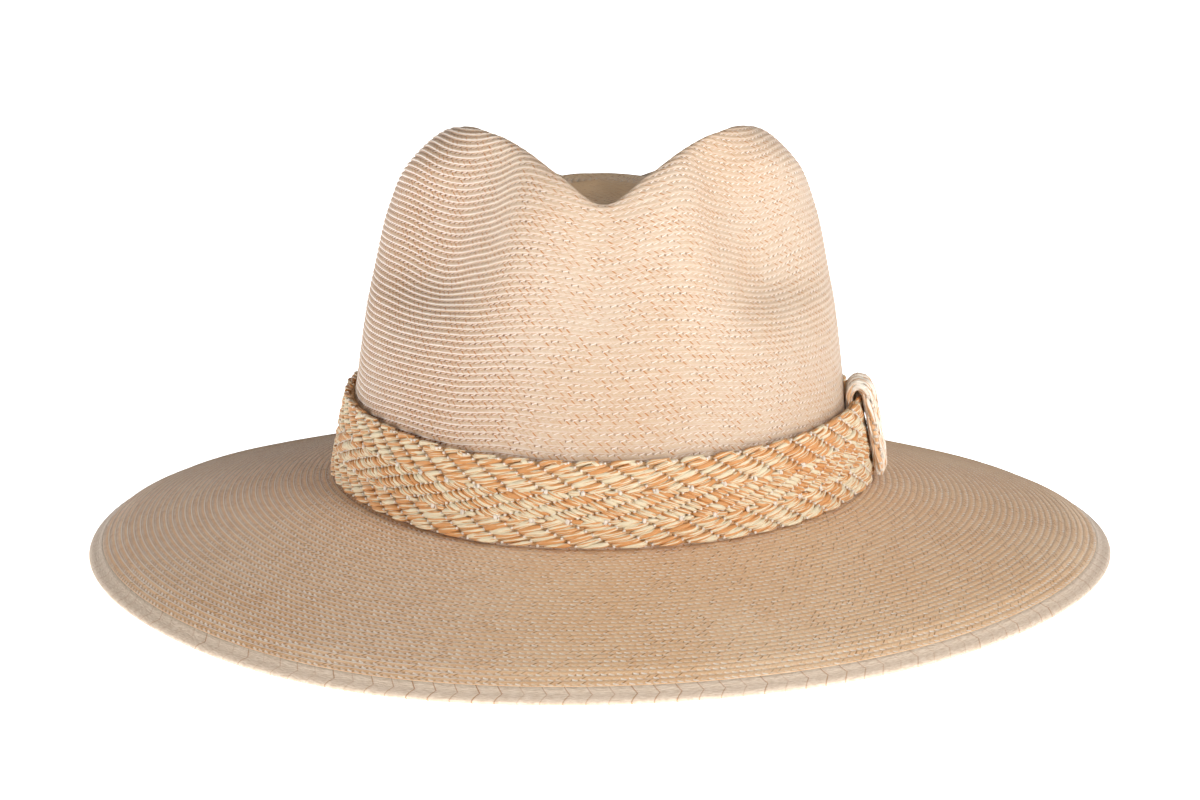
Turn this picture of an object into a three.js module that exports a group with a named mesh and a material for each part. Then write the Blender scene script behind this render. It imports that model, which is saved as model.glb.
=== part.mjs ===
// A palm leaf hat with a wide brim, in millimetres. +Z is up, the front of the hat faces -Y, and
// the origin is under the middle of the hat, on the surface that its edge rests on.
import * as THREE from 'three';

// Sizes that can be set one by one
const HEAD_WIDTH = 174; // crown outside at the band's top, side to side
const HEAD_LENGTH = 202; // crown outside at the band's top, front to back
const CROWN_HEIGHT = 132.4; // from the seam at the brim up to the two peaks
const CROWN_LEAN = 2.4; // how far the top stands towards +X
const BRIM_REACH = 95; // from the head's outline to the outer edge
const BRIM_DROP = 28.4; // from the seam down to the resting face, at the front
const BRIM_BOW = 0.25; // how much steeper the slope is at the edge than on average
const EDGE_LIFT = { left: 6.2, right: 3 }; // how far the edge stands up at -X and at +X
const SEAM_LIFT = { left: 4, right: 1 }; // the same for the seam and the band
const SIDE_SKEW = 0.05; // share by which the left side is deeper than the right
const STRAW = 1.6; // thickness of the sewn braid
const EDGE_WIDTH = 8.2; // the edge plait, measured level
const EDGE_SHOWN = 5; // how much of it stands out past the brim's last row
const EDGE_THICKNESS = 2.1;
const FOOT_WIDTH = 1.8; // flat strip under the edge
const BAND_HEIGHT = 28.5;
const BAND_THICKNESS = 4;
const KEEPER_WIDTH = 18;
const KEEPER_BULGE = 4.6; // how far the strap stands off the band
const KEEPER_ARCH = 7; // how far it rises above the band's top
const KEEPER_TAIL = 12; // length tucked in behind the band
const KEEPER_TAIL_THICKNESS = 1.4;
const KEEPER_TURN = THREE.MathUtils.degToRad(86); // its place, from the front round to +X
const GAP = 0.3; // between pieces that touch

// Shares that shape the outline
const FOOT_FLARE = 1.065; // reach of the crown's foot, of the head's
const FOOT_SHARE = 0.06; // of a quarter turn's rise, the part that stays flat on the surface
const MIDDLE_HEIGHT = 0.814; // raised middle of the top, of the crown's height
const MIDDLE_REACH = 0.56; // where its shoulder is, of the groove's reach
const MIDDLE_FULL = 0.86; // height of that shoulder, from the groove up to the middle

// Levels of the wall, as shares of the way from the band's top up to the crest
const LEVELS = { flank: 0.26, shelf: 0.38, waist: 0.5, neck: 0.73, shoulder: 0.9 };

// One row for each section of the crown. turn is in degrees from the middle of the front, to either
// side. flank to crest and groove are reaches, as shares of the head's reach at that turn. rise and
// floor are the heights of the crest and of the groove, as shares of the crown's height.
const COLUMNS = [
  'turn', 'flank', 'shelf', 'waist', 'neck', 'shoulder', 'crest', 'groove', 'rise', 'floor',
];
const ROWS = [
  [0, 0.96, 0.938, 0.915, 0.88, 0.858, 0.83, 0.6, 0.852, 0.748],
  [12, 0.96, 0.938, 0.917, 0.885, 0.86, 0.8, 0.575, 0.92, 0.752],
  [23, 0.96, 0.937, 0.917, 0.87, 0.815, 0.735, 0.54, 0.966, 0.76],
  [34, 0.96, 0.927, 0.876, 0.785, 0.73, 0.685, 0.505, 0.99, 0.766],
  [43, 0.96, 0.913, 0.824, 0.752, 0.722, 0.668, 0.477, 0.998, 0.769],
  [52, 0.962, 0.905, 0.805, 0.757, 0.742, 0.652, 0.45, 1, 0.771],
  [62, 0.964, 0.918, 0.835, 0.792, 0.768, 0.642, 0.44, 0.99, 0.77],
  [73, 0.966, 0.938, 0.885, 0.838, 0.787, 0.63, 0.43, 0.97, 0.767],
  [90, 0.967, 0.948, 0.922, 0.867, 0.785, 0.59, 0.42, 0.924, 0.756],
  [116, 0.967, 0.95, 0.93, 0.88, 0.785, 0.56, 0.42, 0.866, 0.725],
  [136, 0.97, 0.955, 0.937, 0.89, 0.79, 0.557, 0.41, 0.824, 0.702],
  [158, 0.97, 0.959, 0.942, 0.9, 0.82, 0.63, 0.42, 0.763, 0.679],
  [180, 0.97, 0.959, 0.942, 0.905, 0.845, 0.715, 0.45, 0.71, 0.656],
];

// Steps of the faceted surfaces
const AROUND = 56;
const BAND_STEPS = 2;
const WALL_STEPS = 22;
const BRIM_STEPS = 7;
const KEEPER_STEPS = 4;

const headHalf = { x: HEAD_WIDTH / 2, y: HEAD_LENGTH / 2 };
const brimHalf = { x: headHalf.x + BRIM_REACH, y: headHalf.y + BRIM_REACH };
const sections = ROWS.map((row) => Object.fromEntries(COLUMNS.map((name, k) => [name, row[k]])));

// Value of one column at any turn: a smooth curve through the rows, mirrored at front and back
function columnAt(name, turn) {
  const degrees = THREE.MathUtils.radToDeg(Math.acos(Math.cos(turn)));
  const last = sections.length - 1;
  const row = (k) => {
    if (k < 0) return { at: -sections[-k].turn, value: sections[-k][name] };
    if (k > last) return { at: 360 - sections[2 * last - k].turn, value: sections[2 * last - k][name] };
    return { at: sections[k].turn, value: sections[k][name] };
  };
  let k = 0;
  while (k < last - 1 && degrees > sections[k + 1].turn) k += 1;
  const [before, start, end, after] = [row(k - 1), row(k), row(k + 1), row(k + 2)];
  const span = end.at - start.at;
  const slopeIn = (end.value - before.value) / (end.at - before.at);
  const slopeOut = (after.value - start.value) / (after.at - start.at);
  const t = (degrees - start.at) / span;
  return (
    start.value * (1 + 2 * t) * (1 - t) ** 2 +
    slopeIn * span * t * (1 - t) ** 2 +
    end.value * t * t * (3 - 2 * t) +
    slopeOut * span * t * t * (t - 1)
  );
}

// How far the edge and the seam stand up at a turn: nothing at front and back, most at the sides
const sideShare = (turn) => THREE.MathUtils.smoothstep(Math.sin(turn) ** 2, FOOT_SHARE, 1);
const liftOf = (sides, turn) => sideShare(turn) * (Math.sin(turn) > 0 ? sides.right : sides.left);
const edgeLift = (turn) => liftOf(EDGE_LIFT, turn);
const seamLift = (turn) => liftOf(SEAM_LIFT, turn);

// Heights that the pieces share
const bandFoot = (turn) => BRIM_DROP + GAP + seamLift(turn);
const bandTop = (turn) => bandFoot(turn) + BAND_HEIGHT;
const crownFoot = (turn) => BRIM_DROP - STRAW + seamLift(turn);

// A point at a reach, given as a share of the head's, and a height
function headPoint(turn, share, z) {
  const up = (z - BRIM_DROP) / CROWN_HEIGHT;
  return new THREE.Vector3(
    share * headHalf.x * Math.sin(turn) + CROWN_LEAN * up,
    -share * headHalf.y * Math.cos(turn),
    z,
  );
}

// The straight foot of the crown, which the band and its keeper follow
function footPoint(turn, z) {
  const up = (z - crownFoot(turn)) / (bandTop(turn) - crownFoot(turn));
  return headPoint(turn, THREE.MathUtils.lerp(FOOT_FLARE, 1, up), z);
}

// Direction out of a surface that is given as a function of turn and height or step
function outward(surface, turn, along, step) {
  const bit = 0.01;
  const round = surface(turn + bit, along).sub(surface(turn - bit, along));
  const up = surface(turn, along + step).sub(surface(turn, along - step));
  return round.cross(up).normalize();
}

// A point off the crown's foot: z up the wall, distance straight out from it
function offFoot(turn, z, distance) {
  return footPoint(turn, z).addScaledVector(outward(footPoint, turn, z, 1), distance);
}

// The crown's outer profile at a turn, from the band's top over the crest to the middle of the top
function profile(turn) {
  const low = bandTop(turn);
  const rise = BRIM_DROP + CROWN_HEIGHT * columnAt('rise', turn);
  const floor = BRIM_DROP + CROWN_HEIGHT * columnAt('floor', turn);
  const middle = BRIM_DROP + CROWN_HEIGHT * MIDDLE_HEIGHT;
  const groove = columnAt('groove', turn);
  const points = [headPoint(turn, 1, low)];
  for (const [name, share] of Object.entries(LEVELS)) {
    points.push(headPoint(turn, columnAt(name, turn), THREE.MathUtils.lerp(low, rise, share)));
  }
  points.push(headPoint(turn, columnAt('crest', turn), rise));
  points.push(headPoint(turn, groove, floor));
  points.push(headPoint(turn, groove * MIDDLE_REACH, THREE.MathUtils.lerp(floor, middle, MIDDLE_FULL)));
  points.push(headPoint(turn, 0, middle));
  return new THREE.CatmullRomCurve3(points, false, 'centripetal');
}

// Wall of the crown as a function of turn and of the way up, from 0 at the band's top to 1
const wallPoint = (turn, t) => profile(turn).getPoint(t);

const turns = Array.from({ length: AROUND }, (_, k) => (2 * Math.PI * k) / AROUND);

// A closed body from rings of points. Each ring is joined to the next. Without poles the last ring
// is joined to the first, and with poles the two ends close on a point each.
function body(name, rings, colour, poles = null) {
  const count = rings[0].length;
  const points = rings.flat();
  const index = [];
  const at = (ring, k) => ring * count + (k % count);
  const steps = poles ? rings.length - 1 : rings.length;
  for (let ring = 0; ring < steps; ring += 1) {
    const next = (ring + 1) % rings.length;
    for (let k = 0; k < count; k += 1) {
      index.push(at(ring, k), at(ring, k + 1), at(next, k + 1));
      index.push(at(ring, k), at(next, k + 1), at(next, k));
    }
  }
  if (poles) {
    points.push(...poles);
    for (let k = 0; k < count; k += 1) {
      index.push(points.length - 2, at(0, k + 1), at(0, k));
      index.push(points.length - 1, at(rings.length - 1, k), at(rings.length - 1, k + 1));
    }
  }
  const geometry = new THREE.BufferGeometry().setFromPoints(points);
  geometry.setIndex(index);
  geometry.computeVertexNormals();
  const material = new THREE.MeshStandardMaterial({ color: colour, roughness: 0.75, metalness: 0 });
  const mesh = new THREE.Mesh(geometry, material);
  mesh.name = name;
  return mesh;
}

// Crown: the inner side runs from the middle of the top down to the foot, the outer side back up
function makeCrown() {
  const outer = [];
  const inner = [];
  for (let step = 0; step < BAND_STEPS; step += 1) {
    const height = (turn) => THREE.MathUtils.lerp(crownFoot(turn), bandTop(turn), step / BAND_STEPS);
    outer.push(turns.map((turn) => footPoint(turn, height(turn))));
    inner.push(turns.map((turn) => offFoot(turn, height(turn), -STRAW)));
  }
  for (let step = 0; step < WALL_STEPS; step += 1) {
    const t = step / WALL_STEPS;
    outer.push(turns.map((turn) => wallPoint(turn, t)));
    inner.push(turns.map((turn) => {
      const out = outward(wallPoint, turn, Math.max(t, 0.01), 0.01);
      return wallPoint(turn, t).addScaledVector(out, -STRAW);
    }));
  }
  const top = wallPoint(0, 1);
  const under = top.clone().add(new THREE.Vector3(0, 0, -STRAW));
  return body('crown', [...inner.reverse(), ...outer], '#ecdcc8', [under, top]);
}

// Outline of the edge, drawn in by a distance
function edgePoint(turn, inset, z) {
  const depth = 1 - SIDE_SKEW * Math.sin(turn);
  return new THREE.Vector3(
    (brimHalf.x - inset) * Math.sin(turn),
    -(brimHalf.y - inset) * Math.cos(turn) * depth,
    z + edgeLift(turn),
  );
}

// Section of the edge plait, from its flat foot up its outer side and in under the brim. in is the
// distance in from the edge, up the height above the resting face.
const edgeSlope = (BRIM_DROP / BRIM_REACH) * (1 + BRIM_BOW);
const edgeTop = EDGE_THICKNESS * 2;
const tuckTop = edgeTop + (EDGE_WIDTH - EDGE_SHOWN) * edgeSlope - GAP;
const EDGE_SECTION = [
  { in: 0.4, up: 0 },
  { in: 0, up: EDGE_THICKNESS * 0.3 },
  { in: 0.2, up: EDGE_THICKNESS * 0.62 },
  { in: 1, up: EDGE_THICKNESS },
  { in: EDGE_SHOWN, up: edgeTop },
  { in: EDGE_WIDTH, up: tuckTop },
  { in: EDGE_WIDTH, up: tuckTop - EDGE_THICKNESS * 0.8 },
  { in: EDGE_SHOWN, up: edgeTop - EDGE_THICKNESS * 1.1 },
  { in: 0.4 + FOOT_WIDTH, up: 0 },
];

function makeEdge() {
  const rings = EDGE_SECTION.map((p) => turns.map((turn) => edgePoint(turn, p.in, p.up)));
  return body('edge_braid', rings, '#cdbca4');
}

// Brim: its inner end butts against the crown's foot, its last row lies on the edge plait
function makeBrim() {
  const outerTop = edgeTop + GAP + STRAW;
  const brimPoint = (turn, out, down) => {
    const seam = offFoot(turn, crownFoot(turn), GAP);
    const edge = edgePoint(turn, EDGE_SHOWN, 0);
    const fall = (1 - out) * (1 + BRIM_BOW * out);
    const point = seam.lerp(edge, out);
    const low = outerTop + edgeLift(turn);
    const high = BRIM_DROP + seamLift(turn);
    point.z = THREE.MathUtils.lerp(low, high, fall) - down;
    return point;
  };
  const rings = [];
  for (let step = 0; step <= BRIM_STEPS; step += 1) {
    rings.push(turns.map((turn) => brimPoint(turn, step / BRIM_STEPS, STRAW)));
  }
  for (let step = BRIM_STEPS; step >= 0; step -= 1) {
    rings.push(turns.map((turn) => brimPoint(turn, step / BRIM_STEPS, 0)));
  }
  return body('brim', rings, '#c6b096');
}

// Room behind the band for the keeper's tail
function bandClearance(turn) {
  const away = Math.acos(Math.cos(turn - KEEPER_TURN)) * headHalf.y;
  const near = 1 - THREE.MathUtils.smoothstep(away, KEEPER_WIDTH * 0.9, KEEPER_WIDTH * 2);
  return GAP + (KEEPER_TAIL_THICKNESS + GAP) * near;
}

// Band section: up is a share of its height, out a share of its thickness
const BAND_SECTION = [
  { up: 0, out: 0.2 },
  { up: 0.03, out: 0.75 },
  { up: 0.1, out: 1 },
  { up: 0.5, out: 1 },
  { up: 0.9, out: 1 },
  { up: 0.97, out: 0.75 },
  { up: 1, out: 0.2 },
  { up: 0.94, out: 0 },
  { up: 0.5, out: 0 },
  { up: 0.06, out: 0 },
];

function makeBand() {
  const point = (turn, p) => {
    const z = bandFoot(turn) + p.up * BAND_HEIGHT;
    return offFoot(turn, z, bandClearance(turn) + p.out * BAND_THICKNESS);
  };
  const rings = BAND_SECTION.map((p) => turns.map((turn) => point(turn, p)));
  return body('band', rings, '#e2c08f');
}

// Keeper: a strap that hangs down over the band's face, arches over its top and ends behind it. Its
// outline is in distances up from the band's foot and out from the crown's wall.
function makeKeeper() {
  const tailOut = GAP + KEEPER_TAIL_THICKNESS;
  const faceIn = bandClearance(KEEPER_TURN) + BAND_THICKNESS + GAP;
  const faceOut = faceIn + KEEPER_BULGE;
  const arch = BAND_HEIGHT + KEEPER_ARCH;
  const outline = [
    { up: BAND_HEIGHT - KEEPER_TAIL, out: tailOut },
    { up: BAND_HEIGHT - KEEPER_TAIL, out: GAP },
    { up: arch * 0.93, out: GAP * 3 },
    { up: arch * 0.985, out: THREE.MathUtils.lerp(GAP, faceOut, 0.22) },
    { up: arch, out: THREE.MathUtils.lerp(GAP, faceOut, 0.5) },
    { up: arch * 0.975, out: THREE.MathUtils.lerp(GAP, faceOut, 0.78) },
    { up: arch * 0.92, out: THREE.MathUtils.lerp(GAP, faceOut, 0.94) },
    { up: arch * 0.8, out: faceOut },
    { up: BAND_HEIGHT * 0.5, out: faceOut },
    { up: BAND_HEIGHT * 0.16, out: faceOut },
    { up: GAP * 3, out: THREE.MathUtils.lerp(faceIn, faceOut, 0.6) },
    { up: GAP, out: faceIn + GAP },
    { up: BAND_HEIGHT * 0.1, out: faceIn },
    { up: BAND_HEIGHT * 0.5, out: faceIn },
    { up: BAND_HEIGHT * 0.97, out: faceIn },
    { up: BAND_HEIGHT + GAP * 2, out: faceIn - BAND_THICKNESS * 0.5 },
    { up: BAND_HEIGHT + GAP, out: tailOut },
  ];
  const halfTurn = KEEPER_WIDTH / 2 / headHalf.y;
  const rows = Array.from({ length: KEEPER_STEPS + 1 }, (_, k) => {
    const turn = KEEPER_TURN + halfTurn * ((2 * k) / KEEPER_STEPS - 1);
    return outline.map((p) => offFoot(turn, bandFoot(turn) + p.up, p.out));
  });
  const flat = outline.map((p) => new THREE.Vector2(p.out, p.up));
  const cap = THREE.ShapeUtils.triangulateShape(flat, []);
  const mesh = body('band_keeper', rows, '#e4c79b');
  const count = outline.length;
  const index = [...mesh.geometry.getIndex().array].slice(0, KEEPER_STEPS * count * 6);
  const lastRow = KEEPER_STEPS * count;
  for (const [a, b, c] of cap) {
    index.push(a, b, c);
    index.push(lastRow + a, lastRow + c, lastRow + b);
  }
  mesh.geometry.setIndex(index);
  mesh.geometry.computeVertexNormals();
  return mesh;
}

const hat = new THREE.Group();
hat.add(makeCrown(), makeBrim(), makeEdge(), makeBand(), makeKeeper());

export default hat;
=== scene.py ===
import math

import bpy
import numpy as np
from mathutils import Matrix, Vector


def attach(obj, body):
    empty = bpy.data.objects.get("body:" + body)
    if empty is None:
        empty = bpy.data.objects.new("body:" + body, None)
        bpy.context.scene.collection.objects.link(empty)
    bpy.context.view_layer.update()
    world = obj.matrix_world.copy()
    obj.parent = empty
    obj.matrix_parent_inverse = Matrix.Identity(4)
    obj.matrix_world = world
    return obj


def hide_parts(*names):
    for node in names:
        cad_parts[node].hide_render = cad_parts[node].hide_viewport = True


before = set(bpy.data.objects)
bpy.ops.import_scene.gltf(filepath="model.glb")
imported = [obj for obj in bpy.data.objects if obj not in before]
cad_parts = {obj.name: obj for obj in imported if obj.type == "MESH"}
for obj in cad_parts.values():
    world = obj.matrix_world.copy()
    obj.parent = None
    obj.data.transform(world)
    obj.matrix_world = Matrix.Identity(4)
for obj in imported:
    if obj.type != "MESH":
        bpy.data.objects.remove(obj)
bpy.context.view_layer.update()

# Crown
# A cap of palm leaf braid, sewn round from the middle of the top down so that each row laps over
# the next, then pressed into shape with a pinch on either side of the front. Its sizes are those
# of the CAD model, in millimetres, with +Z up and the front towards -Y.
MM = 0.001
HEAD_HALF = (87.0, 101.0)  # half the head's width and half its length
CROWN_HEIGHT = 132.4  # above the seam in front
CROWN_LEAN = 2.4  # to the right, at the top
BRIM_DROP = 28.4  # from the seam in front down to the table
SEAM_LIFT = {"left": 4.0, "right": 1.0}  # how much higher the seam lies at each side
FOOT_SHARE = 0.06  # the squared sine of the turn from which a side lifts
FOOT_FLARE = 1.065  # width of the foot, as a share of the width at the band's top
BAND_HEIGHT = 28.5
STRAW = 1.6  # thickness of the sewn braid
GAP = 0.3  # between two pieces
MIDDLE_HEIGHT = 0.814  # of the crown's height, at the middle of its top
MIDDLE_REACH = 0.56  # of the way from the middle to the groove, where the dent's floor turns up
MIDDLE_FULL = 0.86  # of the rise from the groove to the middle, reached there
# Levels of the wall, as shares of the way up from the band's top to the crest
LEVELS = {"flank": 0.26, "shelf": 0.38, "waist": 0.5, "neck": 0.73, "shoulder": 0.9}
# For each turn from the front, in degrees, the wall's place as a share of the head's half width and
# length at each level, at the crest and in the groove, and the last two as shares of the height
COLUMNS = (
    "turn", "flank", "shelf", "waist", "neck", "shoulder", "crest", "groove", "rise", "floor",
)
SECTIONS = np.array((
    (0, 0.96, 0.938, 0.915, 0.88, 0.858, 0.83, 0.6, 0.852, 0.748),
    (12, 0.96, 0.938, 0.917, 0.885, 0.86, 0.8, 0.575, 0.92, 0.752),
    (23, 0.96, 0.937, 0.917, 0.87, 0.815, 0.735, 0.54, 0.966, 0.76),
    (34, 0.96, 0.927, 0.876, 0.785, 0.73, 0.685, 0.505, 0.99, 0.766),
    (43, 0.96, 0.913, 0.824, 0.752, 0.722, 0.668, 0.477, 0.998, 0.769),
    (52, 0.962, 0.905, 0.805, 0.757, 0.742, 0.652, 0.45, 1, 0.771),
    (62, 0.964, 0.918, 0.835, 0.792, 0.768, 0.642, 0.44, 0.99, 0.77),
    (73, 0.966, 0.938, 0.885, 0.838, 0.787, 0.63, 0.43, 0.97, 0.767),
    (90, 0.967, 0.948, 0.922, 0.867, 0.785, 0.59, 0.42, 0.924, 0.756),
    (116, 0.967, 0.95, 0.93, 0.88, 0.785, 0.56, 0.42, 0.866, 0.725),
    (136, 0.97, 0.955, 0.937, 0.89, 0.79, 0.557, 0.41, 0.824, 0.702),
    (158, 0.97, 0.959, 0.942, 0.9, 0.82, 0.63, 0.42, 0.763, 0.679),
    (180, 0.97, 0.959, 0.942, 0.905, 0.845, 0.715, 0.45, 0.71, 0.656),
))
# Rows of braid passed on the way up from the foot, at the band's top, waist, crest and groove
ROW_COUNTS = np.array((
    (0, 11, 29.5, 51, 64.5),
    (12, 11, 31, 54.5, 69),
    (23, 10.5, 33, 57, 72.5),
    (36, 11.5, 36, 61, 76),
    (52, 12, 39, 64, 79.5),
    (71, 13.5, 37, 63.5, 79),
    (90, 13.5, 35.5, 64, 77.5),
    (116, 14, 35, 64, 75.5),
    (136, 14, 34, 63, 74),
    (158, 14.5, 33, 59, 71.5),
    (180, 15, 32, 54, 68.5),
))
ROWS = 96
ROW_STOPS = (0, 3 / 9, 6 / 9, 7 / 9, 1)  # those four places and the middle, along wall_point's t
STITCH = 2.6  # from one stitch of the sewing thread to the next
ROW_WIDTH = 2.35  # of the braid that shows between two laps
LAP = ((0.02, 0.0), (0.28, 0.5), (0.62, 0.9), (0.93, 1.0))  # place in a row, down, and its height
RELIEF = {"left": 0.7, "front": 0.25}  # from the lap's foot to its crown
SUNK = 0.45  # how far the lap's foot lies under the wall's face
SOFT_TURN = (0.1, 0.7)  # where the relief passes from the front's to the left's, by the sine
FADE_ROWS = 4  # the rows at the middle of the top that lose their relief
FRONT_COLUMNS = 150
BACK_COLUMNS = 90
WALL_STEPS = 361
INSIDE_RINGS = 26


def smooth(value, low, high):
    share = np.clip((value - low) / (high - low), 0, 1)
    return share * share * (3 - 2 * share)


def along_turn(at, values, turn):
    """A smooth curve through one value for each section, mirrored at the front and the back."""
    degrees = np.degrees(np.arccos(np.clip(np.cos(turn), -1, 1)))
    x = np.concatenate(((-at[1],), at, (360 - at[-2],)))
    v = np.concatenate(((values[1],), values, (values[-2],)))
    k = np.clip(np.searchsorted(at, degrees, side="left"), 1, len(at) - 1)
    slope_in = (v[k + 1] - v[k - 1]) / (x[k + 1] - x[k - 1])
    slope_out = (v[k + 2] - v[k]) / (x[k + 2] - x[k])
    span = x[k + 1] - x[k]
    t = (degrees - x[k]) / span
    return (
        v[k] * (1 + 2 * t) * (1 - t) ** 2
        + slope_in * span * t * (1 - t) ** 2
        + v[k + 1] * t * t * (3 - 2 * t)
        + slope_out * span * t * t * (t - 1)
    )


def section(name, turn):
    return along_turn(SECTIONS[:, 0], SECTIONS[:, COLUMNS.index(name)], turn)


def lift(sides, turn):
    """How much higher a line round the hat lies at a turn than in front."""
    side = np.where(np.sin(turn) > 0, sides["right"], sides["left"])
    return smooth(np.sin(turn) ** 2, FOOT_SHARE, 1) * side


def band_foot(turn):
    return BRIM_DROP + GAP + lift(SEAM_LIFT, turn)


def crown_foot(turn):
    return BRIM_DROP - STRAW + lift(SEAM_LIFT, turn)


def head_point(turn, share, z):
    """A point at a share of the head's half width and length, leaning with the crown."""
    turn, share, z = np.broadcast_arrays(turn, share, z)
    lean = CROWN_LEAN * (z - BRIM_DROP) / CROWN_HEIGHT
    x = share * HEAD_HALF[0] * np.sin(turn) + lean
    return np.stack((x, -share * HEAD_HALF[1] * np.cos(turn), z), -1)


def foot_point(turn, z):
    """A point of the crown's outer face below the band's top."""
    low = crown_foot(turn)
    up = (z - low) / (band_foot(turn) + BAND_HEIGHT - low)
    return head_point(turn, FOOT_FLARE + (1 - FOOT_FLARE) * up, z)


def off_foot(turn, z, distance):
    """A point at a distance straight out from the crown's foot."""
    turn, z, distance = np.broadcast_arrays(turn, z, distance)
    bit = 0.01
    around = foot_point(turn + bit, z) - foot_point(turn - bit, z)
    up = foot_point(turn, z + 1) - foot_point(turn, z - 1)
    out = np.cross(around, up)
    out /= np.linalg.norm(out, axis=-1, keepdims=True)
    return foot_point(turn, z) + out * distance[..., None]


def wall_point(turn, t):
    """A point of the crown's wall, t from 0 at the band's top to 1 at the middle of the top, on
    a curve through the section's points that keeps from looping where they lie close."""
    turn, t = np.broadcast_arrays(turn, t)
    shape = turn.shape
    turn, t = turn.ravel(), t.ravel()
    low = band_foot(turn) + BAND_HEIGHT
    rise = BRIM_DROP + CROWN_HEIGHT * section("rise", turn)
    floor = BRIM_DROP + CROWN_HEIGHT * section("floor", turn)
    middle = BRIM_DROP + CROWN_HEIGHT * MIDDLE_HEIGHT
    groove = section("groove", turn)
    points = [head_point(turn, 1.0, low)]
    for name, share in LEVELS.items():
        points.append(head_point(turn, section(name, turn), low + (rise - low) * share))
    points.append(head_point(turn, section("crest", turn), rise))
    points.append(head_point(turn, groove, floor))
    full = floor + (middle - floor) * MIDDLE_FULL
    points.append(head_point(turn, groove * MIDDLE_REACH, full))
    points.append(head_point(turn, 0.0, middle))
    points = [2 * points[0] - points[1], *points, 2 * points[-1] - points[-2]]
    points = np.array(points)
    spans = len(points) - 3
    k = np.minimum((t * spans).astype(int), spans - 1)
    w = (t * spans - k)[:, None]
    each = np.arange(len(turn))
    p0, p1, p2, p3 = (points[k + n, each] for n in range(4))
    d0, d1, d2 = (
        np.maximum(np.sqrt(np.linalg.norm(b - a, axis=1)), 1e-4)[:, None]
        for a, b in ((p0, p1), (p1, p2), (p2, p3))
    )
    leave = ((p1 - p0) / d0 - (p2 - p0) / (d0 + d1) + (p2 - p1) / d1) * d1
    arrive = ((p2 - p1) / d1 - (p3 - p1) / (d1 + d2) + (p3 - p2) / d2) * d1
    bend = 3 * (p2 - p1) - 2 * leave - arrive
    made = p1 + leave * w + bend * w**2 + (2 * (p1 - p2) + leave + arrive) * w**3
    return made.reshape((*shape, 3))


def lapped(rows):
    """Places of the rings that give each row of braid its lap, counted in rows."""
    return np.array([k + 1 - down for k in range(rows) for down, _ in reversed(LAP)])


def lap_height(rows):
    """Height of the lap at each of those rings, as a share of its relief."""
    return np.tile([high for _, high in reversed(LAP)], rows)


def facing(rings):
    """Outward direction at each point of rings that run up and round anticlockwise."""
    closed = np.concatenate((rings[:, -2:-1], rings, rings[:, 1:2]), 1)
    around = closed[:, 2:] - closed[:, :-2]
    out = np.cross(around, np.gradient(rings, axis=0))
    return out / np.maximum(np.linalg.norm(out, axis=-1, keepdims=True), 1e-9)


def stitch_counts(rings, places, rows):
    """Whole stitches round each ring, as many as round the middle of its own row of braid."""
    length = np.linalg.norm(np.diff(rings, axis=1), axis=-1).sum(1)
    row = np.clip(places.astype(int), 0, rows - 1)
    middle = length[1 + len(LAP) * row + len(LAP) // 2]
    return np.maximum(np.round(middle / STITCH), 1)


def stitches(rings, counts):
    """Stitches passed along each ring, a whole number of them in a full ring."""
    steps = np.linalg.norm(np.diff(rings, axis=1), axis=-1)
    length = np.concatenate((np.zeros((len(rings), 1)), steps.cumsum(1)), 1)
    whole = np.maximum(length[:, -1:], 1e-6)
    return length / whole * counts[:, None]


def row_cells(rings, counts, places):
    """Stitches and rows passed at each point of the rings."""
    rows = np.repeat(places[:, None], rings.shape[1], 1)
    return np.stack((stitches(rings, counts), rows), -1)


def wrap(name, rings, cells):
    """Lays a grid over rings of points, and closes it where its ends and poles meet."""
    bpy.ops.object.select_all(action="DESELECT")
    bpy.ops.mesh.primitive_grid_add(
        x_subdivisions=rings.shape[1] - 1, y_subdivisions=rings.shape[0] - 1, calc_uvs=True
    )
    piece = bpy.context.object
    piece.name = piece.data.name = name
    mesh = piece.data
    mesh.vertices.foreach_set("co", (rings * MM).ravel())
    corner = np.empty(len(mesh.loops), np.int32)
    mesh.loops.foreach_get("vertex_index", corner)
    mesh.uv_layers[0].name = "rows"
    mesh.uv_layers["rows"].uv.foreach_set("vector", cells.reshape(-1, 2)[corner].ravel())
    bpy.ops.object.mode_set(mode="EDIT")
    bpy.ops.mesh.select_all(action="SELECT")
    bpy.ops.mesh.remove_doubles(threshold=1e-6)
    bpy.ops.mesh.normals_make_consistent(inside=False)
    bpy.ops.object.mode_set(mode="OBJECT")
    bpy.ops.object.shade_smooth()
    return piece


turns = np.radians(np.concatenate((
    np.linspace(-90, 90, FRONT_COLUMNS, endpoint=False),
    np.linspace(90, 270, BACK_COLUMNS + 1),
)))
wall_steps = np.linspace(0, 1, WALL_STEPS)
foot_low = crown_foot(turns)
foot_high = band_foot(turns) + BAND_HEIGHT
wall = wall_point(turns[None, :], wall_steps[:, None])
travel = np.linalg.norm(np.diff(wall, axis=0), axis=-1).cumsum(0)
travel = np.concatenate((np.zeros((1, len(turns))), travel))


def rows_passed():
    """Rows of braid passed at each step up the wall, for each column of the grid."""
    stops = [np.searchsorted(wall_steps, stop - 1e-6) for stop in ROW_STOPS]
    counts = [
        along_turn(ROW_COUNTS[:, 0], ROW_COUNTS[:, k], turns)
        for k in range(1, ROW_COUNTS.shape[1])
    ]
    counts.append(np.full(len(turns), float(ROWS)))
    passed = np.empty_like(travel)
    for column in range(len(turns)):
        at = travel[stops, column]
        passed[:, column] = np.interp(travel[:, column], at, [c[column] for c in counts])
    return passed


passed = rows_passed()


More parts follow.
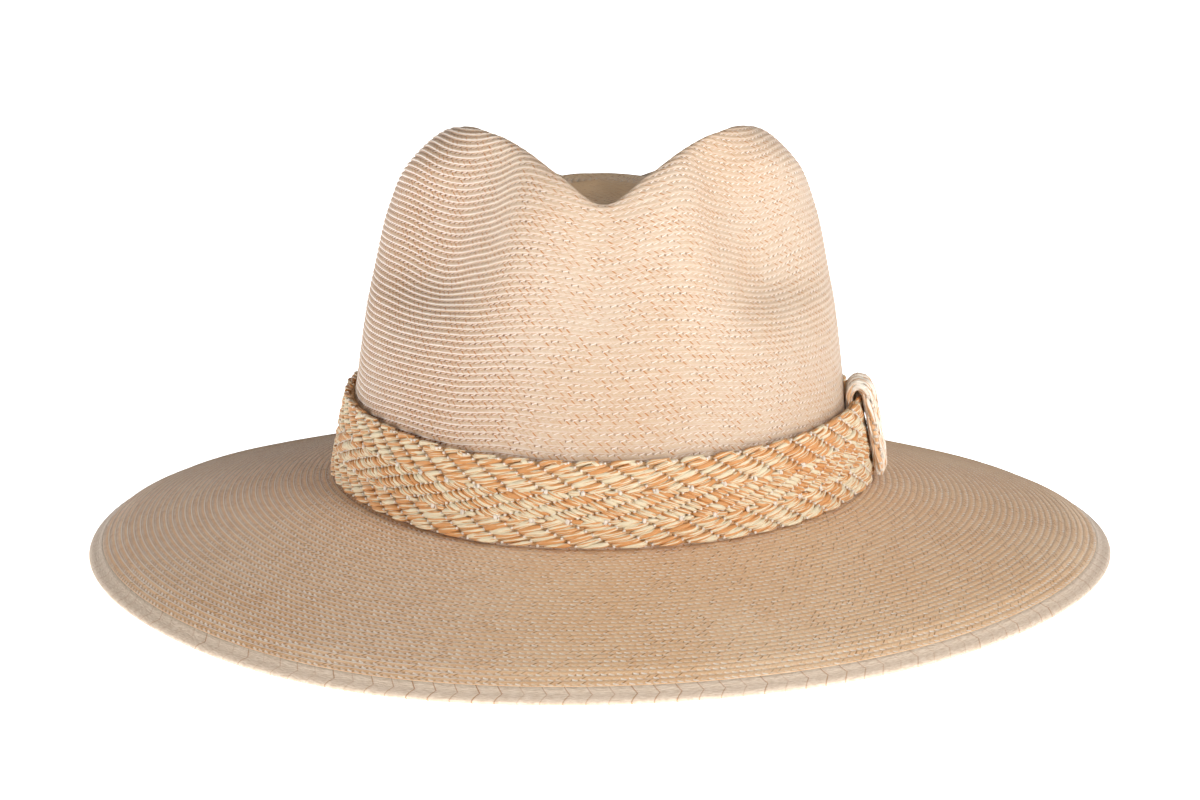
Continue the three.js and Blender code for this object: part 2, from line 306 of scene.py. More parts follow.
def crown_ring(count):
    """The wall's points that have passed a number of rows, one for each column."""
    up = np.array([np.interp(count, passed[:, k], wall_steps) for k in range(len(turns))])
    low = count < passed[0]
    share = np.clip(count / passed[0], 0, 1)
    ring = wall_point(turns, up)
    ring[low] = foot_point(turns[low], (foot_low + (foot_high - foot_low) * share)[low])
    return ring


ring_places = np.concatenate(((0.0,), lapped(ROWS), (float(ROWS),)))
smooth_rings = np.array([crown_ring(count) for count in ring_places])
heights = np.concatenate(((0.0,), lap_height(ROWS), (0.5,)))
fade = smooth(ROWS - ring_places, 0, FADE_ROWS)
leftness = smooth(-np.sin(turns), *SOFT_TURN)
lap_relief = RELIEF["front"] + (RELIEF["left"] - RELIEF["front"]) * leftness
offsets = (heights[:, None] * lap_relief - SUNK) * fade[:, None]
outer = smooth_rings + facing(smooth_rings) * offsets[:, :, None]
outer[-1] = outer[-1].mean(0)
inside_at = np.linspace(0, len(ring_places) - 1, INSIDE_RINGS).astype(int)
inner = (smooth_rings - facing(smooth_rings) * STRAW)[inside_at]
inner[-1] = inner[-1].mean(0)
outer_cells = row_cells(smooth_rings, stitch_counts(smooth_rings, ring_places, ROWS), ring_places)
crown = wrap(
    "crown_braid",
    np.concatenate((inner[::-1], outer)),
    np.concatenate((outer_cells[inside_at][::-1], outer_cells)),
)


def linear(code):
    """An sRGB hex value as the linear colour that a shader takes."""
    parts = [int(code[k : k + 2], 16) / 255 for k in (1, 3, 5)]
    return [*(p / 12.92 if p <= 0.04045 else ((p + 0.055) / 1.055) ** 2.4 for p in parts), 1.0]


def add(tree, kind, inputs, output=0, **settings):
    """Adds a node with its settings and links, and gives back one of its outputs."""
    made = tree.nodes.new(kind)
    for name, value in settings.items():
        setattr(made, name, value)
    for key, value in inputs.items():
        if isinstance(value, bpy.types.NodeSocket):
            tree.links.new(value, made.inputs[key])
        else:
            made.inputs[key].default_value = value
    return made.outputs[output]


def finish(tree, surface):
    """Gives the tree its output."""
    out = tree.nodes.new("ShaderNodeOutputMaterial")
    tree.links.new(surface, out.inputs["Surface"])


def within(tree, value, middle, inner, outer):
    """1 within the inner distance of a middle value, and 0 beyond the outer one."""
    away = add(tree, "ShaderNodeMath", {0: value, 1: middle}, operation="SUBTRACT")
    away = add(tree, "ShaderNodeMath", {0: away}, operation="ABSOLUTE")
    return add(
        tree, "ShaderNodeMapRange", {0: away, 1: inner, 2: outer, 3: 1.0, 4: 0.0},
        interpolation_type="SMOOTHSTEP",
    )


def sewn_palm_braid(name, leaf, shade, edge, thread, hole, marks, holes, relief, thick):
    """Split palm leaf, dried and sewn: smooth bands of fibre along each row, a pale sewing thread
    in slanting stitches at each lap, and tan slanting edges of leaf between them. On the left of
    the hat, raking light is painted in: painted shade in more holes and in the rows' hollows, and
    a painted highlight on the tops of the laps. Along and up a row, lengths are shares of a stitch
    (2.6 mm) and of the row (2.35 mm)."""
    material = bpy.data.materials.new(name)
    material.use_nodes = True
    tree = material.node_tree
    tree.nodes.clear()
    place = add(tree, "ShaderNodeUVMap", {}, uv_map="rows")
    split = tree.nodes.new("ShaderNodeSeparateXYZ")
    tree.links.new(place, split.inputs[0])
    along, rows = split.outputs[0], split.outputs[1]
    spot = add(tree, "ShaderNodeTexCoord", {}, 3)

    # Weight of the painted raking light on the left: 0 in the middle of the hat, and 1 from 70 mm
    # left of it on
    spread = tree.nodes.new("ShaderNodeSeparateXYZ")
    tree.links.new(spot, spread.inputs[0])
    left_light_contrast = add(
        tree, "ShaderNodeMapRange", {0: spread.outputs[0], 1: 0.0, 2: -0.07, 3: 0.0, 4: 1.0},
        interpolation_type="SMOOTHSTEP",
    )

    # Each stitch's own cell. A row's stitches lie 0.92 of a stitch from those of the row below, and
    # up to 0.3 more by chance.
    row = add(tree, "ShaderNodeMath", {0: rows}, operation="FLOOR")
    up = add(tree, "ShaderNodeMath", {0: rows}, operation="FRACT")
    down = add(tree, "ShaderNodeMath", {0: 1.0, 1: up}, operation="SUBTRACT")
    row_noise = add(tree, "ShaderNodeTexWhiteNoise", {"W": row}, noise_dimensions="1D")
    slide = add(
        tree, "ShaderNodeMath", {0: row, 1: 0.92, 2: along}, operation="MULTIPLY_ADD"
    )
    slid = add(
        tree, "ShaderNodeMath", {0: row_noise, 1: 0.3, 2: slide}, operation="MULTIPLY_ADD"
    )
    stitch = add(tree, "ShaderNodeMath", {0: slid}, operation="FLOOR")
    across = add(tree, "ShaderNodeMath", {0: slid}, operation="FRACT")
    cell = add(tree, "ShaderNodeCombineXYZ", {0: stitch, 1: row})
    chance = add(tree, "ShaderNodeTexWhiteNoise", {"Vector": cell}, noise_dimensions="2D")
    other = add(
        tree, "ShaderNodeTexWhiteNoise", {"Vector": cell}, 1, noise_dimensions="2D"
    )
    parts = tree.nodes.new("ShaderNodeSeparateColor")
    tree.links.new(other, parts.inputs[0])
    second, third = parts.outputs[1], parts.outputs[2]

    # Stitches of thread, at the top of each row, rising to the right. They are drawn 0.5 to 1.1 mm
    # thick, because real thread of 0.2 mm is too fine to show.
    rise = add(
        tree, "ShaderNodeMath", {0: across, 1: 0.42, 2: down}, operation="MULTIPLY_ADD"
    )
    band = within(tree, rise, 0.36, 0.3 * thick, thick)
    aside = add(tree, "ShaderNodeMath", {0: across, 1: 0.5}, operation="SUBTRACT")
    middle = add(tree, "ShaderNodeMath", {0: aside}, operation="ABSOLUTE")
    length = add(
        tree, "ShaderNodeMapRange",
        {0: middle, 1: 0.3, 2: 0.43, 3: 1.0, 4: 0.0}, interpolation_type="SMOOTHSTEP",
    )
    sewn = add(tree, "ShaderNodeMath", {0: band, 1: length}, operation="MULTIPLY")
    uneven = add(tree, "ShaderNodeMapRange", {0: second, 1: 0.0, 2: 1.0, 3: 0.35, 4: 1.0})
    sewn = add(tree, "ShaderNodeMath", {0: sewn, 1: uneven}, operation="MULTIPLY")

    # Holes between the stitches, in a share of them, and painted shade in more of them on the left
    # of the hat, where raking light darkens the gaps
    beside = add(
        tree, "ShaderNodeMapRange",
        {0: middle, 1: 0.27, 2: 0.42, 3: 0.0, 4: 1.0}, interpolation_type="SMOOTHSTEP",
    )
    low = within(tree, down, 0.2, 0.08, 0.22)
    sunk = add(tree, "ShaderNodeMath", {0: beside, 1: low}, operation="MULTIPLY")
    often = add(
        tree, "ShaderNodeMapRange", {0: second, 1: 1 - holes, 2: 1.0, 3: 0.0, 4: 0.9}
    )
    # The extra holes on the left are painted shade
    left_shade_holes = add(tree, "ShaderNodeMath", {0: third, 1: 0.4, 2: 0.6}, operation="MULTIPLY_ADD")
    left_shade_holes = add(tree, "ShaderNodeMath", {0: left_shade_holes, 1: left_light_contrast}, operation="MULTIPLY")
    often = add(
        tree, "ShaderNodeMath", {0: left_shade_holes, 1: 2.8 * holes, 2: often},
        operation="MULTIPLY_ADD", use_clamp=True,
    )
    sunk = add(tree, "ShaderNodeMath", {0: sunk, 1: often}, operation="MULTIPLY")

    # Slanting edges of leaf, in some of the places between two stitches
    slant = add(
        tree, "ShaderNodeMath", {0: down, 1: 0.95, 2: -0.5}, operation="MULTIPLY_ADD"
    )
    line = within(tree, aside, slant, 0.06, 0.19)
    inside = within(tree, down, 0.52, 0.2, 0.42)
    line = add(tree, "ShaderNodeMath", {0: line, 1: inside}, operation="MULTIPLY")
    some = add(
        tree, "ShaderNodeMapRange", {0: chance, 1: 1 - marks, 2: 1.0, 3: 0.0, 4: 1.0}
    )
    some = add(tree, "ShaderNodeMath", {0: some, 1: 0.6}, operation="POWER")
    marked = add(tree, "ShaderNodeMath", {0: line, 1: some}, operation="MULTIPLY")

    # Leaf crossing in the braid, as faint streaks that fall to the right, 3.2 mm long and 0.5 mm
    # wide
    x = add(tree, "ShaderNodeMath", {0: slid, 1: STITCH}, operation="MULTIPLY")
    falling = add(
        tree, "ShaderNodeMath", {0: rows, 1: -ROW_WIDTH, 2: x}, operation="MULTIPLY_ADD"
    )
    crossing = add(
        tree, "ShaderNodeMath", {0: rows, 1: ROW_WIDTH, 2: x}, operation="MULTIPLY_ADD"
    )
    woven = add(tree, "ShaderNodeCombineXYZ", {0: falling, 1: crossing})
    woven = add(
        tree, "ShaderNodeVectorMath", {0: woven, 1: (0.22, 1.3, 1.0)}, operation="MULTIPLY"
    )
    weave = add(
        tree, "ShaderNodeTexNoise",
        {"Vector": woven, "Scale": 1.0, "Detail": 2.0, "Roughness": 0.6},
        noise_dimensions="2D",
    )
    weave = add(tree, "ShaderNodeMapRange", {0: weave, 1: 0.35, 2: 0.65, 3: 0.0, 4: 1.0})

    # Fibres along the leaf, 7.4 mm long and 0.26 mm wide, because real ones are too fine to show,
    # painted shade just below the edge of the lap above each row, a painted highlight along the
    # crest of each lap, strongest on the left, and painted shade in the lower part of each row on
    # the left
    stretch = add(
        tree, "ShaderNodeVectorMath", {0: place, 1: (0.35, 9.0, 1.0)}, operation="MULTIPLY"
    )
    fibre = add(
        tree, "ShaderNodeTexNoise",
        {"Vector": stretch, "Scale": 1.0, "Detail": 3.0, "Roughness": 0.6},
        noise_dimensions="2D",
    )
    # Painted shade just below the edge of the lap above
    under = add(
        tree, "ShaderNodeMapRange",
        {0: down, 1: 0.0, 2: 0.14, 3: 1.0, 4: 0.0}, interpolation_type="SMOOTHSTEP",
    )
    under = add(tree, "ShaderNodeMath", {0: under, 1: third}, operation="MULTIPLY")
    # Painted highlight along the crest of each lap
    ridge_highlight = within(tree, down, 0.86, 0.03, 0.12)
    # The painted highlight's strength, 0.18 in the middle and up to 0.9 on the left
    pale = add(
        tree, "ShaderNodeMath", {0: left_light_contrast, 1: 0.72, 2: 0.18}, operation="MULTIPLY_ADD"
    )
    ridge_highlight = add(tree, "ShaderNodeMath", {0: ridge_highlight, 1: pale}, operation="MULTIPLY")
    # Painted shade in the lower part of each row, on the left of the hat
    hollow_shade = add(
        tree, "ShaderNodeMapRange",
        {0: down, 1: 0.2, 2: 0.6, 3: 1.0, 4: 0.0}, interpolation_type="SMOOTHSTEP",
    )
    hollow_shade = add(tree, "ShaderNodeMath", {0: hollow_shade, 1: left_light_contrast}, operation="MULTIPLY")

    # Blotches some 45 mm across, and the leaf's two colours
    cloud = add(
        tree, "ShaderNodeTexNoise",
        {"Vector": spot, "Scale": 22.0, "Detail": 2.0, "Roughness": 0.5},
    )
    cloudy = add(tree, "ShaderNodeMapRange", {0: cloud, 1: 0.35, 2: 0.65, 3: 0.0, 4: 1.0})
    streaky = add(tree, "ShaderNodeMapRange", {0: fibre, 1: 0.38, 2: 0.68, 3: 0.0, 4: 1.0})
    blend = add(tree, "ShaderNodeMath", {0: streaky, 1: 0.5}, operation="MULTIPLY")
    blend = add(
        tree, "ShaderNodeMath", {0: weave, 1: 0.35, 2: blend}, operation="MULTIPLY_ADD"
    )
    blend = add(
        tree, "ShaderNodeMath", {0: cloudy, 1: 0.3, 2: blend}, operation="MULTIPLY_ADD"
    )
    colour = add(
        tree, "ShaderNodeMix",
        {0: blend, 6: linear(leaf), 7: linear(shade)}, 2, data_type="RGBA",
    )

    # Painted warm bounce light in the dent of the crown's top, from row 66 on
    dent_bounce_light = add(tree, "ShaderNodeMapRange", {0: rows, 1: 66.0, 2: 84.0, 3: 0.0, 4: 0.7})
    for share, tint, most in (
        (ridge_highlight, thread, 1.0),
        (dent_bounce_light, "#FBD3A2", 1.0),
        (hollow_shade, edge, 0.5),
        (under, edge, 0.7),
        (marked, edge, 1.0),
        (sewn, thread, 0.9),
        (sunk, hole, 0.85),
    ):
        share = add(tree, "ShaderNodeMath", {0: share, 1: most}, operation="MULTIPLY")
        colour = add(
            tree, "ShaderNodeMix", {0: share, 6: colour, 7: linear(tint)}, 2,
            data_type="RGBA",
        )

    # The thread stands up from the leaf, and the holes and the leaf's edges lie below it
    height = add(tree, "ShaderNodeMath", {0: weave, 1: streaky}, operation="ADD")
    height = add(tree, "ShaderNodeMath", {0: sewn, 1: height}, operation="ADD")
    height = add(
        tree, "ShaderNodeMath", {0: sunk, 1: -0.2, 2: height}, operation="MULTIPLY_ADD"
    )
    height = add(
        tree, "ShaderNodeMath", {0: marked, 1: -0.3, 2: height}, operation="MULTIPLY_ADD"
    )
    bump = add(
        tree, "ShaderNodeBump", {"Height": height, "Strength": relief, "Distance": 0.0003}
    )
    surface = add(
        tree, "ShaderNodeBsdfPrincipled",
        {"Base Color": colour, "Roughness": 0.46, "IOR": 1.45, "Normal": bump,
         "Specular IOR Level": 0.4},
    )
    finish(tree, surface)
    return material


# The crown's leaf is painted darker than the brim's, though both are the same braid, to balance the
# stronger light on the crown's front
crown.data.materials.append(sewn_palm_braid(
    "Crown palm braid, painted darker",
    leaf="#D4C1AC", shade="#C9A887", edge="#B97C46", thread="#F0E9E5", hole="#6B4122",
    marks=0.65, holes=0.3, relief=0.45, thick=0.1,
))
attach(crown, "root")
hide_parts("crown")

# Brim
# The same braid, sewn on outwards from the crown's foot in some 37 rows, so that it slopes down to
# the edge. Its leaf is painted lighter and warmer than the crown's, as painted light that makes up
# for the weaker light on its upward face, and its rows lie flatter.
BRIM_HALF = (182.0, 196.0)  # half its width and half its length
BRIM_BOW = 0.25  # how far it bulges up on the way out, as a share of a straight fall
EDGE_LIFT = {"left": 6.2, "right": 3.0}  # how much higher the rim lies at each side
SIDE_SKEW = 0.05  # how much shorter its right side is, and its left longer, to front and back
EDGE_SHOWN = 5.0  # width of the edge's plait past the brim's last row
EDGE_THICKNESS = 2.1
EDGE_TOP = 2 * EDGE_THICKNESS
BRIM_ROWS = 37
BRIM_COLUMNS = 420
BRIM_RELIEF = 0.14
BRIM_SUNK = 0.11
TUCK = 0.9  # how far the last rows dive, to lie against the edge's plait
TUCK_ROWS = 4
UNDER_RINGS = 16


def edge_point(turn, inset, z):
    """A point at a distance in from the rim, at a height above it."""
    deep = 1 - SIDE_SKEW * np.sin(turn)
    turn, inset, z = np.broadcast_arrays(turn, inset, z + lift(EDGE_LIFT, turn))
    x = (BRIM_HALF[0] - inset) * np.sin(turn)
    return np.stack((x, -(BRIM_HALF[1] - inset) * np.cos(turn) * deep, z), -1)


def brim_point(turn, out, below):
    """A point of the brim, out from 0 at the seam to 1 at the last row, below its upper face."""
    seam = off_foot(turn, crown_foot(turn), GAP)
    edge = edge_point(turn, EDGE_SHOWN, 0.0)
    fall = (1 - out) * (1 + BRIM_BOW * out)
    point = seam + (edge - seam) * out
    low = EDGE_TOP + GAP + STRAW + lift(EDGE_LIFT, turn)
    high = BRIM_DROP + lift(SEAM_LIFT, turn)
    point[..., 2] = low + (high - low) * fall - below
    return point


brim_turns = np.radians(np.linspace(-180, 180, BRIM_COLUMNS + 1))
brim_places = np.concatenate(((0.0,), lapped(BRIM_ROWS), (float(BRIM_ROWS),)))
brim_smooth = np.array([brim_point(brim_turns, at / BRIM_ROWS, 0.0) for at in brim_places])
brim_heights = np.concatenate(((0.0,), lap_height(BRIM_ROWS), (0.0,))) * BRIM_RELIEF - BRIM_SUNK
brim_heights = brim_heights - TUCK * smooth(brim_places, BRIM_ROWS - TUCK_ROWS, BRIM_ROWS)
brim_up = -facing(brim_smooth)  # its rings run outwards and down
brim_top = brim_smooth + brim_up * brim_heights[:, None, None]
under = np.array([
    brim_point(brim_turns, at, STRAW) for at in np.linspace(0, 1, UNDER_RINGS)
])
brim_counts = stitch_counts(brim_smooth, brim_places, BRIM_ROWS)
top_cells = row_cells(brim_smooth, brim_counts, brim_places)
under_places = np.linspace(0, BRIM_ROWS, UNDER_RINGS)
under_counts = np.round(np.interp(under_places, brim_places, brim_counts))
under_cells = row_cells(under, under_counts, under_places)
brim = wrap(
    "brim_braid",
    np.concatenate((brim_top, under[::-1], brim_top[:1])),
    np.concatenate((top_cells, under_cells[::-1], top_cells[:1])),
)
brim.data.materials.append(sewn_palm_braid(
    "Brim palm braid, painted lighter",
    leaf="#F6D6B0", shade="#E0AF7D", edge="#A8713F", thread="#FFF4EA", hole="#84562F",
    marks=0.4, holes=0.05, relief=0.3, thick=0.24,
))
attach(brim, "root")
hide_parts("brim")

# Edge
# A flat plait of split palm leaf, folded into chevrons every 7.3 mm. It is sewn under the brim's
# last rows and turned down at the rim, and the hat stands on it.
EDGE_WIDTH = 8.2
FOLD = 7.3
CHEVRON = 0.55  # slant of a fold: folds along the plait for its width across
EDGE_LIP = 0.2  # from the rim to the start of the chevrons
EDGE_RAISED = 0.18  # from one fold to the next
SEAM_RISE = 0.7  # how far the plait bulges up to meet the brim's last row
EDGE_COLUMNS = 1488
edge_slope = (BRIM_DROP / (BRIM_HALF[0] - HEAD_HALF[0])) * (1 + BRIM_BOW)
tuck_top = EDGE_TOP + (EDGE_WIDTH - EDGE_SHOWN) * edge_slope - GAP
# The plait's section, from its foot over its upper face: in from the rim, and up from the table
EDGE_SECTION = (
    (2.2, 0.0), (0.4, 0.0), (0.0, 0.63), (0.2, 1.3), (1.0, 2.1), (2.0, 2.66), (3.0, 3.2),
    (4.0, 3.95), (EDGE_SHOWN, EDGE_TOP + SEAM_RISE), (6.4, EDGE_TOP + 0.5),
    (EDGE_WIDTH, tuck_top),
    (EDGE_WIDTH, tuck_top - 1.68), (6.4, tuck_top - 2.3), (EDGE_SHOWN, EDGE_TOP - 2.31),
    (2.2, 0.0),
)
edge_turns = np.radians(np.linspace(-180, 180, EDGE_COLUMNS + 1))
outline = edge_point(edge_turns, 0.0, 0.0)
run = np.concatenate(((0.0,), np.linalg.norm(np.diff(outline, axis=0), axis=1).cumsum()))
folds = round(run[-1] / FOLD)
fold_at = run / run[-1] * folds
edge_rings, edge_cells = [], []
for inset, z in EDGE_SECTION:
    ring = edge_point(edge_turns, inset, z)
    width = (inset - EDGE_LIP) / EDGE_SHOWN
    chevron = (fold_at - np.where(width < 0.5, width, 1 - width) * CHEVRON) % 1.0
    on_top = inset < EDGE_SHOWN and z > 0.5 * EDGE_THICKNESS
    ring[:, 2] -= on_top * EDGE_RAISED * (1 - chevron)
    edge_rings.append(ring)
    edge_cells.append(np.stack((fold_at, np.full(len(fold_at), width)), -1))
edge = wrap("edge_plait", np.array(edge_rings), np.array(edge_cells))


def palm_plait():
    """Dry split leaf with a faint gloss, its folds marked by thin tan lines in chevrons."""
    material = bpy.data.materials.new("Flat palm leaf plait")
    material.use_nodes = True
    tree = material.node_tree
    tree.nodes.clear()
    place = add(tree, "ShaderNodeUVMap", {}, uv_map="rows")
    split = tree.nodes.new("ShaderNodeSeparateXYZ")
    tree.links.new(place, split.inputs[0])
    along, width = split.outputs[0], split.outputs[1]
    arm = add(tree, "ShaderNodeMath", {0: width, 1: 0.5}, operation="SUBTRACT")
    arm = add(tree, "ShaderNodeMath", {0: arm}, operation="ABSOLUTE")
    chevron = add(
        tree, "ShaderNodeMath", {0: arm, 1: CHEVRON, 2: along}, operation="MULTIPLY_ADD"
    )
    number = add(tree, "ShaderNodeMath", {0: chevron}, operation="ROUND")
    bold = add(tree, "ShaderNodeTexWhiteNoise", {"W": number}, noise_dimensions="1D")
    bold = add(tree, "ShaderNodeMapRange", {0: bold, 1: 0.0, 2: 1.0, 3: 0.25, 4: 1.0})
    fold = add(tree, "ShaderNodeMath", {0: chevron}, operation="FRACT")
    fold = add(tree, "ShaderNodeMath", {0: fold, 1: 0.5}, operation="SUBTRACT")
    fold = add(tree, "ShaderNodeMath", {0: fold}, operation="ABSOLUTE")
    line = add(
        tree, "ShaderNodeMapRange",
        {0: fold, 1: 0.45, 2: 0.495, 3: 0.0, 4: 0.9}, interpolation_type="SMOOTHSTEP",
    )
    line = add(tree, "ShaderNodeMath", {0: line, 1: bold}, operation="MULTIPLY")

    # Fibres 2.4 mm long and 0.36 mm wide, because real ones are too fine to show
    stretch = add(
        tree, "ShaderNodeVectorMath", {0: place, 1: (3.0, 14.0, 1.0)}, operation="MULTIPLY"
    )
    fibre = add(
        tree, "ShaderNodeTexNoise",
        {"Vector": stretch, "Scale": 1.0, "Detail": 4.0, "Roughness": 0.6},
        noise_dimensions="2D",
    )
    streaky = add(tree, "ShaderNodeMapRange", {0: fibre, 1: 0.35, 2: 0.7, 3: 0.0, 4: 1.0})
    colour = add(
        tree, "ShaderNodeMix",
        {0: streaky, 6: linear("#E3D0BC"), 7: linear("#CBB299")}, 2, data_type="RGBA",
    )
    colour = add(
        tree, "ShaderNodeMix",
        {0: line, 6: colour, 7: linear("#B07B4C")}, 2, data_type="RGBA",
    )
    height = add(
        tree, "ShaderNodeMath", {0: line, 1: -2.0, 2: streaky}, operation="MULTIPLY_ADD"
    )
    bump = add(
        tree, "ShaderNodeBump", {"Height": height, "Strength": 0.5, "Distance": 0.0002}
    )
    finish(tree, add(
        tree, "ShaderNodeBsdfPrincipled",
        {"Base Color": colour, "Roughness": 0.5, "IOR": 1.45, "Normal": bump},
    ))
    return material


edge.data.materials.append(palm_plait())
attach(edge, "root")
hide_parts("edge_braid")

# Band
# A plait of cream and tan leaf strands in three runs of chevrons, bound with pale thread where the
# strands meet, laid round the foot of the crown.
BAND_THICKNESS = 4.0
KEEPER_WIDTH = 18.0
KEEPER_TAIL_THICKNESS = 1.4
KEEPER_TURN = math.radians(86)
BAND_STEPS = 720
BACK_STEPS = 240
CORD = 12.8  # from one chevron to the next, along the band
STRAND_DEEP = 0.95  # half a strand's thickness
STRAND_LOW = 1.75  # out from the band's back to a strand's ends
STRAND_BULGE = 1.3  # further out to its middle
STRAND_HUMP = 0.6  # how far the middle of a strand of the top row stands up
TIE_LOW = 2.75  # out from the band's back to a tie
APART = 3.0  # between two copies of a shape, before they are put in place
# Each run's strands: how many, the steps down and along the band from one to the next, their rise
# in degrees, their length and half their width
RUNS = {
    "top": (8, 1.3, 2.4, 12.0, 9.7, 1.16),
    "middle": (14, 0.665, -2.15, -19.0, 7.0, 0.9),
    "bottom": (7, 1.25, 2.4, 12.0, 9.7, 1.16),
}
# Short strands that fill the corners where the runs meet: how far from the middle between two
# ties, their place down from there, rise, length and half their width
FILLERS = ((4.6, 1.0, -26.0, 4.6, 0.85), (3.4, 0.1, -3.0, 5.6, 0.85), (-3.4, 0.1, -3.0, 5.6, 0.85))
random = np.random.default_rng(7)


def band_clearance(turn):
    """From the crown to the band's back, with room under the keeper for its tail."""
    away = np.arccos(np.clip(np.cos(turn - KEEPER_TURN), -1, 1)) * HEAD_HALF[1]
    near = 1 - smooth(away, KEEPER_WIDTH * 0.9, KEEPER_WIDTH * 2)
    return GAP + (KEEPER_TAIL_THICKNESS + GAP) * near


band_turns = np.linspace(-math.pi, math.pi, BAND_STEPS + 1)
middle_line = off_foot(band_turns, band_foot(band_turns) + BAND_HEIGHT / 2, BAND_THICKNESS)
band_run = np.linalg.norm(np.diff(middle_line, axis=0), axis=1).cumsum()
band_run = np.concatenate(((0.0,), band_run))
cords = round(band_run[-1] / CORD)
cord = band_run[-1] / cords


def on_band(along, up, out):
    """A point of the band: millimetres along it, up from its foot and out from its back."""
    turn = np.interp(along % band_run[-1], band_run, band_turns)
    return off_foot(turn, band_foot(turn) + up, band_clearance(turn) + out)


# Up from the band's foot, and out from its back
back_section = (
    (0.4, 0.2), (0.8, 1.2), (3.0, 1.9), (14.0, 1.9), (25.0, 1.9), (27.6, 1.2), (28.0, 0.2),
    (14.0, 0.0), (0.4, 0.2),
)
back_along = np.linspace(0, band_run[-1], BACK_STEPS + 1)
back_rings = np.array([on_band(back_along, up, out) for up, out in back_section])
back_rings[:, -1] = back_rings[:, 0]
back_cells = np.stack(np.broadcast_arrays(
    back_along[None, :] / STITCH, np.array([up for up, _ in back_section])[:, None],
), -1)
back = wrap("band_back", back_rings, back_cells)


def copies(name, count):
    """Repeats the selected shape, and joins its copies into one piece."""
    piece = bpy.context.object
    piece.name = piece.data.name = name
    array = piece.modifiers.new("row", "ARRAY")
    array.count = count
    array.use_relative_offset = False
    array.use_constant_offset = True
    array.constant_offset_displace = (APART, 0.0, 0.0)
    bpy.ops.object.modifier_apply(modifier=array.name)
    shape = np.empty(len(piece.data.vertices) * 3)
    piece.data.vertices.foreach_get("co", shape)
    shape = shape.reshape(count, -1, 3)
    shape[:, :, 0] -= APART * np.arange(count)[:, None]
    return piece, shape


def settle(piece, points, places, tones):
    """Puts each copy in its place, with its place along the strand and its own tone."""
    mesh = piece.data
    mesh.vertices.foreach_set("co", (points * MM).ravel())
    corner = np.empty(len(mesh.loops), np.int32)
    mesh.loops.foreach_get("vertex_index", corner)
    while mesh.uv_layers:
        mesh.uv_layers.remove(mesh.uv_layers[0])
    layer = mesh.uv_layers.new(name="strand")
    layer.uv.foreach_set("vector", places.reshape(-1, 2)[corner].ravel())
    tone = mesh.attributes.new("tone", "FLOAT", "POINT")
    tone.data.foreach_set("value", np.repeat(tones, points.shape[1]))
    bpy.ops.object.mode_set(mode="EDIT")
    bpy.ops.mesh.select_all(action="SELECT")
    bpy.ops.mesh.normals_make_consistent(inside=False)
    bpy.ops.object.mode_set(mode="OBJECT")
    bpy.ops.object.shade_smooth()


# Each row of strands: its place up the band and along it, its slant, length and half width. The
# joints are the rows of ties where two runs meet.
strand_rows, joints = [], []
up, shift = BAND_HEIGHT, 0.0
for count, down, step, rise, long, wide in RUNS.values():
    joints.append((up, shift, 1.0))
    for number in range(count):
        up, shift = up - down / 2, shift + step / 2
        strand_rows.append((up, shift, math.radians(rise), long, wide))
        up, shift = up - down / 2, shift + step / 2
for (up, offset, _), (aside, down, rise, long, wide) in zip(joints, FILLERS):
    strand_rows.append((up - down, offset + aside, math.radians(rise), long, wide))
strand_at = [
    (c * cord + offset + cord / 2, up, slant, long, wide)
    for up, offset, slant, long, wide in strand_rows
    for c in range(cords)
]
bpy.ops.object.select_all(action="DESELECT")
bpy.ops.mesh.primitive_uv_sphere_add(segments=8, ring_count=8, radius=1)
strands, shape = copies("band_strands", len(strand_at))
at = np.array(strand_at)
wobble = random.normal(0, 1, (len(at), 4))  # of length, slant, width and place outwards
along = shape[:, :, 2]
half = (at[:, 3:4] + 0.4 * wobble[:, :1]) / 2
slant = at[:, 2:3] + 0.04 * wobble[:, 1:2]
fuller = np.maximum(1 - along**2, 0) ** -0.18  # blunter ends than a ball has
fuller = np.where(np.abs(along) > 0.999, 0, fuller)
wide = shape[:, :, 0] * fuller * at[:, 4:5] * (1 + 0.1 * wobble[:, 2:3])
s = at[:, :1] + np.cos(slant) * along * half - np.sin(slant) * wide
h = at[:, 1:2] + np.sin(slant) * along * half + np.cos(slant) * wide
top_row = at[:, 1:2] == at[:, 1:2].max()
h = h + top_row * STRAND_HUMP * (1 - along**2)
bulge = STRAND_LOW + STRAND_BULGE * (1 - along**2) + 0.14 * wobble[:, 3:4]
out = bulge + shape[:, :, 1] * fuller * STRAND_DEEP
h = np.clip(h, 0.1, BAND_HEIGHT + 0.3)
points = on_band(s, h, np.clip(out, 0.2, BAND_THICKNESS + 0.8))
places = np.stack((
    along * half + 20 * random.random((len(at), 1)),
    wide + 0.35 * shape[:, :, 1] + 9 * random.random((len(at), 1)),
), -1)
settle(strands, points, places, random.random(len(at)))


